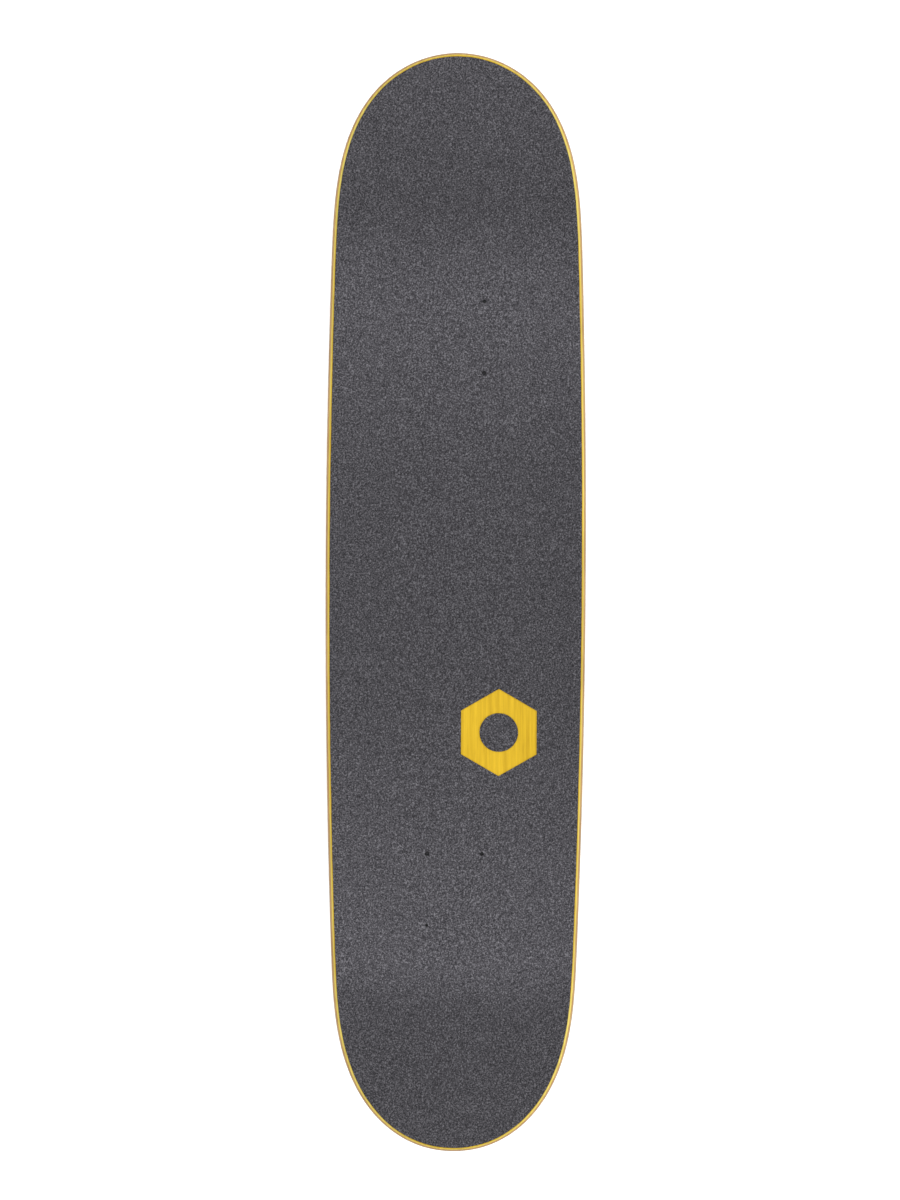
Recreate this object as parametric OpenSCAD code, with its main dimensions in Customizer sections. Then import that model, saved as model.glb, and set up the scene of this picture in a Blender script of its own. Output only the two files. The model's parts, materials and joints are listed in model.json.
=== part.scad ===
// Street skateboard: seven-ply deck with grip tape, two kingpin trucks, four wheels.
// Millimetres. +X points to the nose, +Y to the rider's left, +Z up.
// The origin is on the ground under the middle of the deck.

/* [Deck] */
// Length from tip to tip
deck_length = 812.8; // [806:0.1:820]
// Greatest width
deck_width = 195.8; // [194:0.1:206]
// Thickness of one veneer
ply_thickness = 1.5875; // [1.4:0.0125:1.7]
// Thickness of the grip tape
grip_thickness = 0.8; // [0.6:0.1:1]
// Rise of the rails over the flat middle strip
concave_rise = 9.5; // [4:0.5:12]
// Width of the flat middle strip
flat_width = 60; // [58:1:64]
// Place of the widest part ahead of the middle
widest_x = 27.5; // [0:0.5:60]
// Share of the half width lost 300 mm away from the widest part
side_taper = 0.059; // [0.03:0.001:0.08]

/* [Nose and tail] */
// Length over which the nose rounds off
nose_round = 170.5; // [150:0.5:200]
// Fullness of the nose's sides, 2 for an ellipse
nose_power = 3.7; // [2.5:0.1:4.5]
// Bluntness of the nose's tip, 2 for an ellipse
nose_root = 1.98; // [1.9:0.02:2.5]
// Length over which the tail rounds off
tail_round = 146; // [110:0.5:160]
// Fullness of the tail's sides, 2 for an ellipse
tail_power = 3; // [2.1:0.1:4]
// Bluntness of the tail's tip, 2 for an ellipse
tail_root = 2.08; // [1.9:0.02:2.5]
// Angle of the nose
nose_angle = 20.5; // [16:0.5:23]
// Angle of the tail
tail_angle = 20; // [16:0.5:23]
// Radius of the bend into the nose
nose_bend_r = 125; // [100:5:140]
// Radius of the bend into the tail
tail_bend_r = 105; // [90:5:120]
// Flat length between the outer nose bolts and the bend
nose_flat = 18.5; // [17:0.5:22]
// Flat length between the outer tail bolts and the bend
tail_flat = 22; // [19:0.5:26]

/* [Grip tape window] */
// Width across flats of the hexagonal window
mark_flats = 57; // [40:1:60]
// Diameter of the round island in the window
mark_island = 29; // [10:1:32]
// Place of the window along the board
mark_x = -97.5; // [-110:0.5:-60]
// Place of the window across the board
mark_y = -33; // [-40:1:40]

/* [Truck bolts] */
// Distance between the inner bolts of the two trucks
wheelbase = 361.95; // [355:0.05:370]
// Place of the wheelbase's middle along the board
wheelbase_x = -7.9; // [-12:0.1:0]
// Bolt spacing along the board
bolt_pitch_x = 53.975; // [53.9:0.025:54.1]
// Bolt spacing across the board
bolt_pitch_y = 41.275; // [41.2:0.025:41.4]
// Bolt length, head included
bolt_length = 25.4; // [24.5:0.1:27]
// Hole pierced through the grip tape over each bolt
pierce_d = 3; // [2:0.2:4]

/* [Trucks] */
// Height of the deck's underside over the axle
truck_height = 53; // [52.5:0.5:54]
// Length of the axle
axle_length = 190.5; // [190:0.5:191]
// Width of the hanger
hanger_width = 124; // [123.5:0.5:124]
// Lean of the kingpin from the vertical
kingpin_lean = 20; // [18:1:22]
// Depth of the pivot's centre under the deck
pivot_depth = 11.5; // [11:0.25:12.5]
// Distance from the bolt pattern's middle out to the pivot's centre
pivot_x = 27; // [26:0.5:28]
// Radius of the hanger's pivot
pivot_r = 5.8; // [5.5:0.1:6]

/* [Wheels] */
// Wheel diameter
wheel_d = 52; // [50:1:54]
// Wheel width
wheel_width = 31; // [30:0.5:32]
// Width of the tread's straight part
tread_width = 17; // [14:1:18]

/* [Hidden] */
// Facets of round shapes, and of the small and the large ones
$fn = 48;
small_fn = 32;
large_fn = 96;
eps = 0.01;
// Overshoot of cuts, within a piece and right through the board
over = 1;
reach = 60;

ply_count = 7;
deck_t = ply_count * ply_thickness;
edge_r = deck_t / 2;
half_length = deck_length / 2;
half_width_max = deck_width / 2;
flat_half = flat_width / 2;
nose_start = half_length - nose_round;
tail_start = tail_round - half_length;
shoulder_depth = 0.39;
end_zone = 110;
fade_length = 120;
slope_step = 0.02;

axle_z = wheel_d / 2;
under_z = axle_z + truck_height;
top_z = under_z + deck_t;
front_x = wheelbase_x + wheelbase / 2 + bolt_pitch_x / 2;
rear_x = wheelbase_x - wheelbase / 2 - bolt_pitch_x / 2;
nose_bend_x = front_x + bolt_pitch_x / 2 + nose_flat;
tail_bend_x = rear_x - bolt_pitch_x / 2 - tail_flat;

bolt_r = 2.4;
bolt_hole_r = 2.7;
bolt_head_r = 4.5;
bolt_head_h = (bolt_head_r - bolt_r) / tan(41);
bolt_head_gap = 0.07;
bolt_key_flats = 3.2;
bolt_key_depth = 1.9;
thread_gap = 0.02;
nut_flats = 9.5;
nut_h = 6;

plate_t = 6;
plate_x = 41;
plate_y = 28;
plate_corner = 9;
boss_root_r = 16;
boss_h = 18;
spine_w = 10;
spine_h = 8.5;
housing_wall = 3;
axle_x = -2;
axle_r = 3.97;
seat_x = 10;
seat_depth = 14;
kingpin_r = 4.76;
kingpin_head_r = 7.5;
kingpin_head_h = 5;
kingpin_head_s = -11.6;
washer_t = 1.5;
boardside_h = 14.5;
barrel_r = 8;
ring_t = 7;
ring_r = 14;
ring_hole_r = 8.5;
roadside_h = 11;
bushing_r = 12.8;
bushing_tip_r = 9.9;
bushing_bore_r = kingpin_r + 0.2;
boardside_washer_r = bushing_r + 0.9;
roadside_washer_r = 11.4;
bushing_clear_r = 15.4;
kingpin_nut_h = 8.5;
kingpin_nut_flats = 14.3;
ring_s = washer_t + boardside_h + ring_t / 2;
roadside_s = ring_s + ring_t / 2;
top_washer_s = roadside_s + roadside_h;
kingpin_nut_s = top_washer_s + washer_t;
kingpin_end_s = kingpin_nut_s + kingpin_nut_h + 1.6;
kingpin_fit = 0.03;
washer_gap = 0.15;

ring_x = seat_x + ring_s * sin(kingpin_lean);
ring_depth = seat_depth + ring_s * cos(kingpin_lean);
steer_tilt = atan2(ring_depth - pivot_depth, ring_x + pivot_x);
pivot_s = norm([ring_depth - pivot_depth, ring_x + pivot_x]);
cup_wall = 2.5;
cup_inner_r = pivot_r + 0.06;
cup_outer_r = cup_inner_r + cup_wall;
cup_mouth_s = pivot_s - 9;
cup_fit = 0.02;

speed_washer_t = 0.9;
speed_washer_r = 5.6;
bearing_w = 7;
spacer_w = 10;
spacer_r = 5.4;
inner_bearing_y = hanger_width / 2 + speed_washer_t;
wheel_y = inner_bearing_y + bearing_w + spacer_w / 2;
outer_washer_y = inner_bearing_y + 2 * bearing_w + spacer_w;
axle_nut_y = outer_washer_y + speed_washer_t;
axle_nut_h = 6;
axle_nut_flats = 12.7;
bearing_offset = (bearing_w + spacer_w) / 2;
bearing_r = 11;
bore_r = 4;
ball_r = 1.984;
ball_pitch_r = 7.5;
ball_count = 7;
groove_r = 2.03;
inner_shoulder_r = 6.05;
outer_shoulder_r = 8.95;
shield_seat_r = 9.4;
shield_bore_r = 6.4;
shield_t = 0.3;
shield_z = bearing_w / 2 - 0.5;
shield_gap = 0.1;
cage_r = 8.4;
cage_bore_r = 6.6;
cage_gap = 0.12;

grip_black = [0.17, 0.17, 0.18];
stain_yellow = [0.90, 0.72, 0.20];
stain_orange = [0.82, 0.56, 0.24];
maple = [0.85, 0.72, 0.54];
cast_metal = [0.72, 0.73, 0.75];
steel = [0.60, 0.61, 0.63];
black_steel = [0.14, 0.14, 0.15];
urethane_white = [0.93, 0.92, 0.88];
urethane_black = [0.12, 0.12, 0.13];
brass = [0.72, 0.55, 0.28];

// ---------- deck surface ----------

// Rise of an arc of radius r that turns by angle a and goes on straight, d after its start
function bend(d, r, a) =
    d <= 0 ? 0 :
    d < r * sin(a) ? r - sqrt(r * r - d * d) :
    r * (1 - cos(a)) + (d - r * sin(a)) * tan(a);

// Slope of the same curve
function bend_slope(d, r, a) =
    d <= 0 ? 0 :
    d < r * sin(a) ? d / sqrt(r * r - d * d) :
    tan(a);

function kick(x) =
    bend(x - nose_bend_x, nose_bend_r, nose_angle)
    + bend(tail_bend_x - x, tail_bend_r, tail_angle);

function kick_slope(x) =
    bend_slope(x - nose_bend_x, nose_bend_r, nose_angle)
    + bend_slope(tail_bend_x - x, tail_bend_r, tail_angle);

// The concave fades to half its depth along the nose and the tail
function concave_share(x) =
    let (run = max(x - nose_bend_x, tail_bend_x - x, 0) / fade_length)
    1 - 0.5 * min(1, run) * min(1, run);

function concave_scale(x) = concave_rise * concave_share(x) / pow(half_width_max - flat_half, 2);

function lift(x, y) = kick(x) + concave_scale(x) * pow(max(0, abs(y) - flat_half), 2);

// Vertical depth of a layer per unit of its thickness
function steepness(x, y) =
    norm([1, kick_slope(x), 2 * concave_scale(x) * max(0, abs(y) - flat_half)]);

// ---------- deck outline ----------

function end_share(x) =
    x > nose_start ? pow(1 - pow((x - nose_start) / nose_round, nose_power), 1 / nose_root) :
    x < tail_start ? pow(1 - pow((tail_start - x) / tail_round, tail_power), 1 / tail_root) :
    1;

function half_width(x) =
    half_width_max * (1 - side_taper * pow((x - widest_x) / 300, 2)) * end_share(x);

function outline_normal(x) =
    let (slope = (half_width(x + slope_step) - half_width(x - slope_step)) / 2 / slope_step)
    [-slope, 1] / norm([slope, 1]);

// Distance from the outline in to a full round edge, at a depth under the top face
function edge_inset(depth) = edge_r - sqrt(max(0, edge_r * edge_r - pow(edge_r - depth, 2)));

// Places of the rows, closer together in the bends and towards the tips
zone_x = half_length - end_zone;
station_x = concat(
    [for (q = [84:-7:7]) zone_x + end_zone * sin(q)],
    [for (i = [0:5]) zone_x + (nose_bend_x - zone_x) * i / 5],
    [for (i = [1:10]) nose_bend_x + (tail_bend_x - nose_bend_x) * i / 10],
    [for (i = [1:3]) tail_bend_x - (zone_x + tail_bend_x) * i / 3],
    [for (q = [7:7:84]) -zone_x - end_zone * sin(q)]
);
rows = len(station_x);
cols = 13;
mid_col = 6;
grid_size = rows * cols + 2;
loop_size = 2 * rows + 2;

// Height at (x, y) of the surface that lies depth under the deck's top face
function surface_z(x, y, depth) = top_z + lift(x, y) - depth * steepness(x, y);

// Point of grid column col in the row at station x, with the outline moved in by inset
function row_point(x, col, depth, inset) =
    let (
        n = outline_normal(x),
        w = half_width(x),
        edge = w - inset * n[1],
        flat = min(flat_half, 0.5 * w),
        step = abs(col - mid_col),
        side = sign(col - mid_col),
        y = step <= 1 ? step * flat : flat + (edge - flat) * (step - 1) / (mid_col - 1),
        px = x - inset * n[0]
    )
    [px, side * y, surface_z(px, y, depth)];

function tip_point(end, depth, inset) =
    let (x = end * (half_length - inset))
    [x, 0, surface_z(x, 0, depth)];

function grid_points(depth, inset) = concat(
    [for (x = station_x) for (c = [0:cols - 1]) row_point(x, c, depth, inset)],
    [tip_point(1, depth, inset), tip_point(-1, depth, inset)]
);

function loop_points(depth, inset) = concat(
    [tip_point(1, depth, inset)],
    [for (x = station_x) row_point(x, cols - 1, depth, inset)],
    [tip_point(-1, depth, inset)],
    [for (i = [rows - 1:-1:0]) row_point(station_x[i], 0, depth, inset)]
);

// Indices of a grid's outer loop, in the order of loop_points
function grid_loop(first) = concat(
    [first + rows * cols],
    [for (r = [0:rows - 1]) first + r * cols + cols - 1],
    [first + rows * cols + 1],
    [for (r = [rows - 1:-1:0]) first + r * cols]
);

function cell_faces(a, b, c, d, left) = left ? [[a, b, c], [a, c, d]] : [[a, b, d], [b, c, d]];

// Faces of a grid that looks down
function grid_faces(first) = concat(
    [for (r = [0:rows - 2]) for (c = [0:cols - 2])
        let (a = first + r * cols + c)
        each cell_faces(a, a + 1, a + cols + 1, a + cols, c < mid_col)],
    [for (c = [0:cols - 2]) [first + rows * cols, first + c + 1, first + c]],
    [for (c = [0:cols - 2])
        let (a = first + (rows - 1) * cols + c)
        [first + rows * cols + 1, a, a + 1]]
);

function flipped(faces) = [for (f = faces) [f[2], f[1], f[0]]];

function wall_faces(upper, lower) = [
    for (i = [0:loop_size - 1])
        let (j = (i + 1) % loop_size)
        each [[upper[i], upper[j], lower[i]], [upper[j], lower[j], lower[i]]]
];

function loop_indices(first) = [for (i = [0:loop_size - 1]) first + i];

// Sheet between two surfaces; each surface and each edge ring is [depth, inset]
module sheet(upper, lower, rings) {
    ring_first = [for (i = [0:1:len(rings) - 1]) 2 * grid_size + i * loop_size];
    loops = concat(
        [grid_loop(0)],
        [for (first = ring_first) loop_indices(first)],
        [grid_loop(grid_size)]
    );
    polyhedron(
        points = concat(
            grid_points(upper[0], upper[1]),
            grid_points(lower[0], lower[1]),
            [for (ring = rings) each loop_points(ring[0], ring[1])]
        ),
        faces = concat(
            flipped(grid_faces(0)),
            grid_faces(grid_size),
            [for (i = [0:len(loops) - 2]) each wall_faces(loops[i], loops[i + 1])]
        ),
        convexity = 8
    );
}

function ply_surface(level) = [level * ply_thickness, edge_inset(level * ply_thickness)];

shoulder_ring = [shoulder_depth, edge_inset(shoulder_depth)];
middle_ring = [deck_t / 2, 0];
belly_ring = [deck_t - shoulder_depth, edge_inset(shoulder_depth)];

// Veneer number index, counted from the top
module ply(index) {
    rings =
        index == 1 ? [shoulder_ring] :
        index == ply_count ? [belly_ring] :
        index == (ply_count + 1) / 2 ? [middle_ring] :
        [];
    difference() {
        sheet(ply_surface(index - 1), ply_surface(index), rings);
        at_bolts() translate([0, 0, under_z - over])
            cylinder(r = bolt_hole_r, h = deck_t + 2 * over, $fn = small_fn);
        if (index <= 2)
            at_bolts() translate([0, 0, top_z + bolt_head_gap]) bolt_head_cone(bolt_head_gap);
    }
}

// ---------- placing ----------

module at_bolts() {
    for (cx = [front_x, rear_x])
        for (sx = [-1, 1])
            for (sy = [-1, 1])
                translate([cx + sx * bolt_pitch_x / 2, sy * bolt_pitch_y / 2, 0]) children();
}

// Truck frame: origin at the bolt pattern's middle under the deck, +X towards the board's middle
module front_truck() {
    translate([front_x, 0, under_z]) rotate([0, 0, 180]) children();
}

module rear_truck() {
    translate([rear_x, 0, under_z]) children();
}

// Kingpin frame: origin on the bushing seat, +Z down along the kingpin
module on_kingpin() {
    translate([seat_x, 0, -seat_depth]) rotate([0, 180 - kingpin_lean, 0]) children();
}

// Steering frame: origin in the middle of the hanger's ring, +Z to the pivot
module on_steering_axis() {
    translate([ring_x, 0, -ring_depth]) rotate([0, steer_tilt - 90, 0]) children();
}

// Axle frame: origin in the middle of the axle, +Z to the left
module on_axle() {
    translate([axle_x, 0, -truck_height]) rotate([-90, 0, 0]) children();
}

// Both ends of the axle, +Z outwards
module at_axle_ends() {
    on_axle() {
        children();
        rotate([180, 0, 0]) children();
    }
}

// Wheel frame: origin in the wheel's middle, +Z outwards; end is 1 at the front, side is 1 at the left
module at_wheel(end, side) {
    cx = end > 0 ? front_x - axle_x : rear_x + axle_x;
    translate([cx, side * wheel_y, axle_z]) rotate([-90 * side, 0, 0]) children();
}

// Both bearings of a wheel, +Z to the bearing's outer face
module at_bearings() {
    translate([0, 0, bearing_offset]) children();
    rotate([180, 0, 0]) translate([0, 0, bearing_offset]) children();
}

// ---------- shared shapes ----------

module tube(outer_r, inner_r, h) {
    difference() {
        cylinder(r = outer_r, h = h);
        translate([0, 0, -over]) cylinder(r = inner_r, h = h + 2 * over);
    }
}

// Hexagonal nut with a chamfered far end and a round collar
module hex_nut(flats, h, hole_r) {
    hex_h = 0.8 * h;
    collar_r = 0.46 * flats;
    difference() {
        union() {
            intersection() {
                cylinder(r = flats / 2 / cos(30), h = hex_h, $fn = 6);
                translate([0, 0, -flats])
                    cylinder(r1 = flats * 1.6, r2 = flats / 2, h = flats + hex_h);
            }
            cylinder(r = collar_r, h = h);
        }
        translate([0, 0, -over]) cylinder(r = hole_r, h = h + 2 * over, $fn = small_fn);
    }
}

// Countersunk head standing under z = 0, grown by gap
module bolt_head_cone(gap) {
    translate([0, 0, -bolt_head_h - gap])
        cylinder(r1 = bolt_r + gap, r2 = bolt_head_r + 2 * gap, h = bolt_head_h + gap, $fn = small_fn);
}

module rounded_plate(x, y, t, r) {
    translate([-x + r, -y, -t]) cube([2 * (x - r), 2 * y, t]);
    translate([-x, -y + r, -t]) cube([2 * x, 2 * (y - r), t]);
    for (sx = [-1, 1])
        for (sy = [-1, 1])
            translate([sx * (x - r), sy * (y - r), -t]) cylinder(r = r, h = t, $fn = small_fn);
}

// ---------- deck ----------

module grip_tape() {
    overlap = 0.34;
    shoulder_rise = 0.2;
    color(grip_black)
    difference() {
        sheet(
            [-grip_thickness, edge_inset(0) - overlap / 2],
            [0, edge_inset(0)],
            [
                [-shoulder_rise, shoulder_ring[1] - overlap],
                shoulder_ring
            ]
        );
        at_bolts() translate([0, 0, top_z - over])
            cylinder(d = pierce_d, h = reach, $fn = small_fn);
        translate([mark_x, mark_y, top_z - over]) window_shape();
    }
}

// Hexagonal window round a circular island
module window_shape() {
    difference() {
        cylinder(r = mark_flats / 2 / cos(30), h = reach, $fn = 6);
        translate([0, 0, -over]) cylinder(d = mark_island, h = reach + 2 * over, $fn = large_fn);
    }
}

module ply_1() {
    color(stain_yellow) ply(1);
}

module ply_2() {
    color(stain_orange) ply(2);
}

module ply_3() {
    color(maple) ply(3);
}

module ply_4() {
    color(maple) ply(4);
}

module ply_5() {
    color(maple) ply(5);
}

module ply_6() {
    color(maple) ply(6);
}

module ply_7() {
    color(maple) ply(7);
}

module mounting_bolts() {
    color(black_steel)
    at_bolts() translate([0, 0, top_z]) difference() {
        union() {
            bolt_head_cone(0);
            translate([0, 0, -bolt_length])
                cylinder(r = bolt_r, h = bolt_length - bolt_head_h + eps, $fn = small_fn);
        }
        translate([0, 0, -bolt_key_depth])
            cylinder(d = bolt_key_flats / cos(30), h = bolt_key_depth + over, $fn = 6);
    }
}

module mounting_nuts() {
    color(black_steel)
    at_bolts() translate([0, 0, under_z - plate_t]) rotate([180, 0, 0])
        hex_nut(nut_flats, nut_h, bolt_r + thread_gap);
}

// ---------- trucks ----------

module baseplate() {
    difference() {
        union() {
            rounded_plate(plate_x, plate_y, plate_t, plate_corner);
            kingpin_boss();
            pivot_housing();
            spine();
        }
        translate([-reach, -reach, 0]) cube([2 * reach, 2 * reach, reach]);
        on_kingpin() translate([0, 0, -reach]) cylinder(r = kingpin_r + kingpin_fit, h = 2 * reach);
        on_kingpin() translate([0, 0, kingpin_head_s + kingpin_head_h - reach])
            cylinder(r = kingpin_head_r + kingpin_fit, h = reach);
        on_steering_axis() pivot_socket();
        for (sx = [-1, 1])
            for (sy = [-1, 1])
                translate([sx * bolt_pitch_x / 2, sy * bolt_pitch_y / 2, -plate_t - over])
                    cylinder(r = bolt_hole_r, h = plate_t + 2 * over, $fn = small_fn);
    }
}

// Round boss that carries the bushings, flared to the plate
module kingpin_boss() {
    on_kingpin() translate([0, 0, -boss_h])
        cylinder(r1 = boss_root_r, r2 = boardside_washer_r, h = boss_h);
}

// Tube with a round end, along the steering axis from s to the pivot's centre
module pivot_bullet(r, s) {
    translate([0, 0, s]) cylinder(r = r, h = pivot_s - s);
    translate([0, 0, pivot_s]) sphere(r = r);
}

// Housing of the pivot cup, with a wedge that carries it under the plate
module pivot_housing() {
    wedge_root = [22, 22, 1];
    wedge_end = [14, 18, 1];
    root_x = 3 - plate_x;
    end_x = -pivot_x - 6;
    end_z = -pivot_depth - 5;
    on_steering_axis() pivot_bullet(cup_outer_r + housing_wall, cup_mouth_s + over);
    hull() {
        translate([root_x, -wedge_root[1] / 2, -plate_t]) cube(wedge_root);
        translate([end_x, -wedge_end[1] / 2, end_z]) cube(wedge_end);
    }
}

// Rib between the pivot housing and the kingpin boss
module spine() {
    translate([-pivot_x, -spine_w / 2, -spine_h]) cube([pivot_x + seat_x, spine_w, spine_h]);
}

module pivot_socket() {
    lead = 8;
    pivot_bullet(cup_outer_r + cup_fit, cup_mouth_s - lead);
}

module pivot_cup() {
    on_steering_axis() difference() {
        pivot_bullet(cup_outer_r, cup_mouth_s);
        pivot_bullet(cup_inner_r, cup_mouth_s - over);
    }
}

module kingpin() {
    tip_h = 0.8;
    tip_s = kingpin_end_s - 1;
    on_kingpin() {
        translate([0, 0, kingpin_head_s]) cylinder(r = kingpin_head_r, h = kingpin_head_h);
        translate([0, 0, kingpin_head_s + eps])
            cylinder(r = kingpin_r, h = tip_s - kingpin_head_s);
        translate([0, 0, tip_s]) cylinder(r1 = kingpin_r, r2 = kingpin_r - tip_h, h = tip_h);
    }
}

module kingpin_nut() {
    on_kingpin() translate([0, 0, kingpin_nut_s])
        hex_nut(kingpin_nut_flats, kingpin_nut_h, kingpin_r + thread_gap);
}

// Cupped washer, its rim on the +Z side
module cup_washer(outer_r) {
    rim_h = 1.6;
    rim_t = 0.9;
    flare = 0.5;
    difference() {
        cylinder(r1 = outer_r - flare, r2 = outer_r, h = washer_t + rim_h);
        translate([0, 0, washer_t])
            cylinder(r1 = outer_r - rim_t - flare, r2 = outer_r - rim_t + flare, h = 2 * rim_h);
        translate([0, 0, -over]) cylinder(r = kingpin_r + washer_gap, h = washer_t + 2 * over);
    }
}

module boardside_washer() {
    on_kingpin() cup_washer(boardside_washer_r);
}

module roadside_washer() {
    on_kingpin() translate([0, 0, kingpin_nut_s]) rotate([180, 0, 0])
        cup_washer(roadside_washer_r);
}

// Barrel bushing, bevelled at both ends
module boardside_bushing() {
    foot_h = 2.5;
    foot_bevel = 1.4;
    crown_h = 1.5;
    crown_bevel = 1.2;
    on_kingpin() translate([0, 0, washer_t]) difference() {
        union() {
            cylinder(r1 = bushing_r - foot_bevel, r2 = bushing_r, h = foot_h);
            translate([0, 0, foot_h])
                cylinder(r = bushing_r, h = boardside_h - foot_h - crown_h);
            translate([0, 0, boardside_h - crown_h])
                cylinder(r1 = bushing_r, r2 = bushing_r - crown_bevel, h = crown_h);
        }
        translate([0, 0, -over]) cylinder(r = bushing_bore_r, h = boardside_h + 2 * over);
    }
}

// Conical bushing, narrow at the nut
module roadside_bushing() {
    bevel = 1;
    on_kingpin() translate([0, 0, roadside_s]) difference() {
        union() {
            cylinder(r1 = bushing_r - bevel, r2 = bushing_r, h = bevel);
            translate([0, 0, bevel])
                cylinder(r1 = bushing_r, r2 = bushing_tip_r, h = roadside_h - bevel);
        }
        translate([0, 0, -over]) cylinder(r = bushing_bore_r, h = roadside_h + 2 * over);
    }
}

// Bar along the axle, centred on it
module axle_bar(r, width) {
    on_axle() translate([0, 0, -width / 2]) cylinder(r = r, h = width);
}

module hanger() {
    difference() {
        union() {
            axle_bar(barrel_r, hanger_width);
            ring_web();
            pivot_web();
            pivot_stem();
        }
        axle_bar(axle_r + thread_gap, 2 * hanger_width);
        on_kingpin() translate([0, 0, ring_s - ring_t]) cylinder(r = ring_hole_r, h = 2 * ring_t);
        on_kingpin() translate([0, 0, roadside_s]) cylinder(r = bushing_clear_r, h = reach);
        on_kingpin() boardside_room();
    }
}

// Web from the axle to the ring between the bushings
module ring_web() {
    bar_r = 6.5;
    bar_width = 98;
    hull() {
        axle_bar(bar_r, bar_width, $fn = small_fn);
        on_kingpin() translate([0, 0, ring_s - ring_t / 2])
            cylinder(r = ring_r, h = ring_t, $fn = small_fn);
    }
}

// Web from the axle to the root of the pivot
module pivot_web() {
    bar_r = 8.5;
    bar_width = 42;
    root_s = 14;
    root_h = 14;
    hull() {
        axle_bar(bar_r, bar_width, $fn = small_fn);
        on_steering_axis() translate([0, 0, root_s])
            cylinder(r1 = bar_r, r2 = bar_r - 1, h = root_h, $fn = small_fn);
    }
}

// Tapered stem with the ball-ended pivot
module pivot_stem() {
    stem_s = 10;
    pin_h = 14;
    on_steering_axis() {
        translate([0, 0, stem_s])
            cylinder(r1 = barrel_r, r2 = pivot_r + 1, h = pivot_s - pin_h - stem_s);
        pivot_bullet(pivot_r, stem_s + over);
    }
}

// Space for the boardside bushing when the hanger leans
module boardside_room() {
    room_s = -10;
    translate([0, 0, room_s])
        cylinder(r1 = bushing_clear_r + 2, r2 = bushing_clear_r, h = ring_s - ring_t / 2 - room_s);
}

module axle() {
    chamfer = 0.8;
    straight = axle_length - 2 * chamfer;
    on_axle() {
        translate([0, 0, -straight / 2]) cylinder(r = axle_r, h = straight);
        translate([0, 0, straight / 2])
            cylinder(r1 = axle_r, r2 = axle_r - chamfer, h = chamfer);
        translate([0, 0, -axle_length / 2])
            cylinder(r1 = axle_r - chamfer, r2 = axle_r, h = chamfer);
    }
}

module axle_nuts() {
    at_axle_ends() translate([0, 0, axle_nut_y])
        hex_nut(axle_nut_flats, axle_nut_h, axle_r + thread_gap);
}

module speed_washers() {
    at_axle_ends() for (z = [hanger_width / 2, outer_washer_y])
        translate([0, 0, z]) tube(speed_washer_r, bore_r, speed_washer_t);
}

module bearing_inner_rings() {
    at_axle_ends() for (z = [inner_bearing_y, inner_bearing_y + bearing_w + spacer_w])
        translate([0, 0, z + bearing_w / 2]) difference() {
            translate([0, 0, -bearing_w / 2]) tube(inner_shoulder_r, bore_r, bearing_w);
            ball_groove();
        }
}

module bearing_spacers() {
    at_axle_ends() translate([0, 0, inner_bearing_y + bearing_w])
        tube(spacer_r, bore_r, spacer_w);
}

// ---------- wheels and bearings ----------

module ball_groove() {
    rotate_extrude($fn = 2 * small_fn) translate([ball_pitch_r, 0]) circle(r = groove_r);
}

// Half profile of the wheel: tread, round shoulder, conical face, recess and bearing seat
function wheel_side() =
    let (
        tread_r = wheel_d / 2,
        shoulder = 4.5,
        face_r = 18.5,
        mouth_r = 14.2,
        seat_z = bearing_offset + bearing_w / 2,
        seat_lip = 0.7,
        web_r = 8.6
    )
    concat(
        [for (q = [0:12:72])
            [tread_r - shoulder + shoulder * cos(q), tread_width / 2 + shoulder * sin(q)]],
        [[face_r, wheel_width / 2], [mouth_r, wheel_width / 2]],
        [[bearing_r + seat_lip, seat_z + seat_lip], [bearing_r, seat_z]],
        [[bearing_r, spacer_w / 2], [web_r, spacer_w / 2]]
    );

module wheel() {
    side = wheel_side();
    far_side = [for (i = [len(side) - 1:-1:0]) [side[i][0], -side[i][1]]];
    rotate_extrude($fn = large_fn) polygon(concat(side, far_side));
}

module bearing_outer_rings() {
    at_bearings() difference() {
        translate([0, 0, -bearing_w / 2]) tube(bearing_r, outer_shoulder_r, bearing_w);
        ball_groove();
        translate([0, 0, shield_z - shield_gap]) cylinder(r = shield_seat_r, h = over);
    }
}

module bearing_shields() {
    at_bearings() translate([0, 0, shield_z]) tube(shield_seat_r - eps, shield_bore_r, shield_t);
}

module at_balls() {
    at_bearings() for (i = [0:ball_count - 1])
        rotate([0, 0, i * 360 / ball_count]) translate([ball_pitch_r, 0, 0]) children();
}

module bearing_balls() {
    at_balls() sphere(r = ball_r, $fn = small_fn);
}

// Crown cages round the balls
module bearing_cages() {
    back = -1;
    cage_w = 3.6;
    difference() {
        at_bearings() translate([0, 0, back]) tube(cage_r, cage_bore_r, cage_w);
        at_balls() sphere(r = ball_r + cage_gap, $fn = small_fn);
    }
}

// ---------- nodes ----------

module front_baseplate() {
    color(cast_metal) front_truck() baseplate();
}

module front_pivot_cup() {
    color(urethane_black) front_truck() pivot_cup();
}

module front_kingpin() {
    color(steel) front_truck() kingpin();
}

module front_kingpin_nut() {
    color(steel) front_truck() kingpin_nut();
}

module front_boardside_washer() {
    color(steel) front_truck() boardside_washer();
}

module front_boardside_bushing() {
    color(urethane_black) front_truck() boardside_bushing();
}

module front_roadside_bushing() {
    color(urethane_black) front_truck() roadside_bushing();
}

module front_roadside_washer() {
    color(steel) front_truck() roadside_washer();
}

module front_hanger() {
    color(cast_metal) front_truck() hanger();
}

module front_axle() {
    color(steel) front_truck() axle();
}

module front_axle_nuts() {
    color(steel) front_truck() axle_nuts();
}

module front_speed_washers() {
    color(steel) front_truck() speed_washers();
}

module front_bearing_inner_rings() {
    color(steel) front_truck() bearing_inner_rings();
}

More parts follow.
